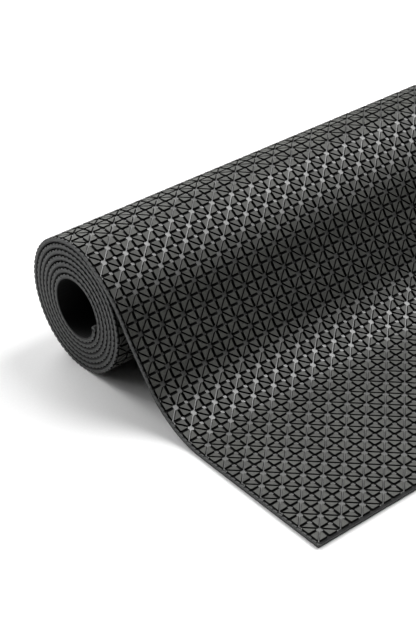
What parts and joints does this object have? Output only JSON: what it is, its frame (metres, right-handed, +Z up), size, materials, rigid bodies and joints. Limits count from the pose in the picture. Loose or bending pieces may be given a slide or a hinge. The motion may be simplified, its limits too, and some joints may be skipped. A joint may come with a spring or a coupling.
{
  "type": "seedling heat mat",
  "caption": "Studded rubber propagation heat mat, partly unrolled: a coil with its free end laid flat, a film heater between its sheets and a cord inlet housing.",
  "frame": {"origin": "middle of the footprint, on the floor", "axes": "+X along the roll, -Y towards the free end, +Z up"},
  "size_m": [0.5588, 0.2526, 0.0854],
  "materials": {
    "studded_rubber": "moulded studs, satin",
    "smooth_rubber": "calendered, matte",
    "seam_rubber": "cut edge, matte",
    "carrier_film": "clear amber film",
    "carbon_film": "black carbon print under film",
    "copper_foil": "rolled copper foil",
    "aluminium_foil": "rolled foil",
    "housing_plastic": "fine moulded texture",
    "grommet_rubber": "matte",
    "crimp_metal": "tinned",
    "live_lead": "extruded insulation",
    "neutral_lead": "extruded insulation",
    "earth_lead": "extruded insulation",
    "cutout_case": "moulded"
  },
  "bodies": {
    "root": {"top_sheet": "studded_rubber", "bottom_sheet": "smooth_rubber", "left_edge_seam": "seam_rubber", "right_edge_seam": "seam_rubber", "free_end_seam": "seam_rubber", "inner_end_seam": "seam_rubber", "carrier_film": "carrier_film", "earth_shield": "aluminium_foil", "heating_film": "carbon_film", "busbar_live": "copper_foil", "busbar_neutral": "copper_foil", "cross_strip_live": "copper_foil", "tab_neutral": "copper_foil", "inlet_base": "housing_plastic", "inlet_cover": "housing_plastic", "cord_grommet": "grommet_rubber", "crimp_live": "crimp_metal", "crimp_neutral": "crimp_metal", "crimp_earth": "crimp_metal", "lead_live": "live_lead", "lead_neutral": "neutral_lead", "lead_earth": "earth_lead", "thermal_cutout": "cutout_case"}
  },
  "joints": []
}
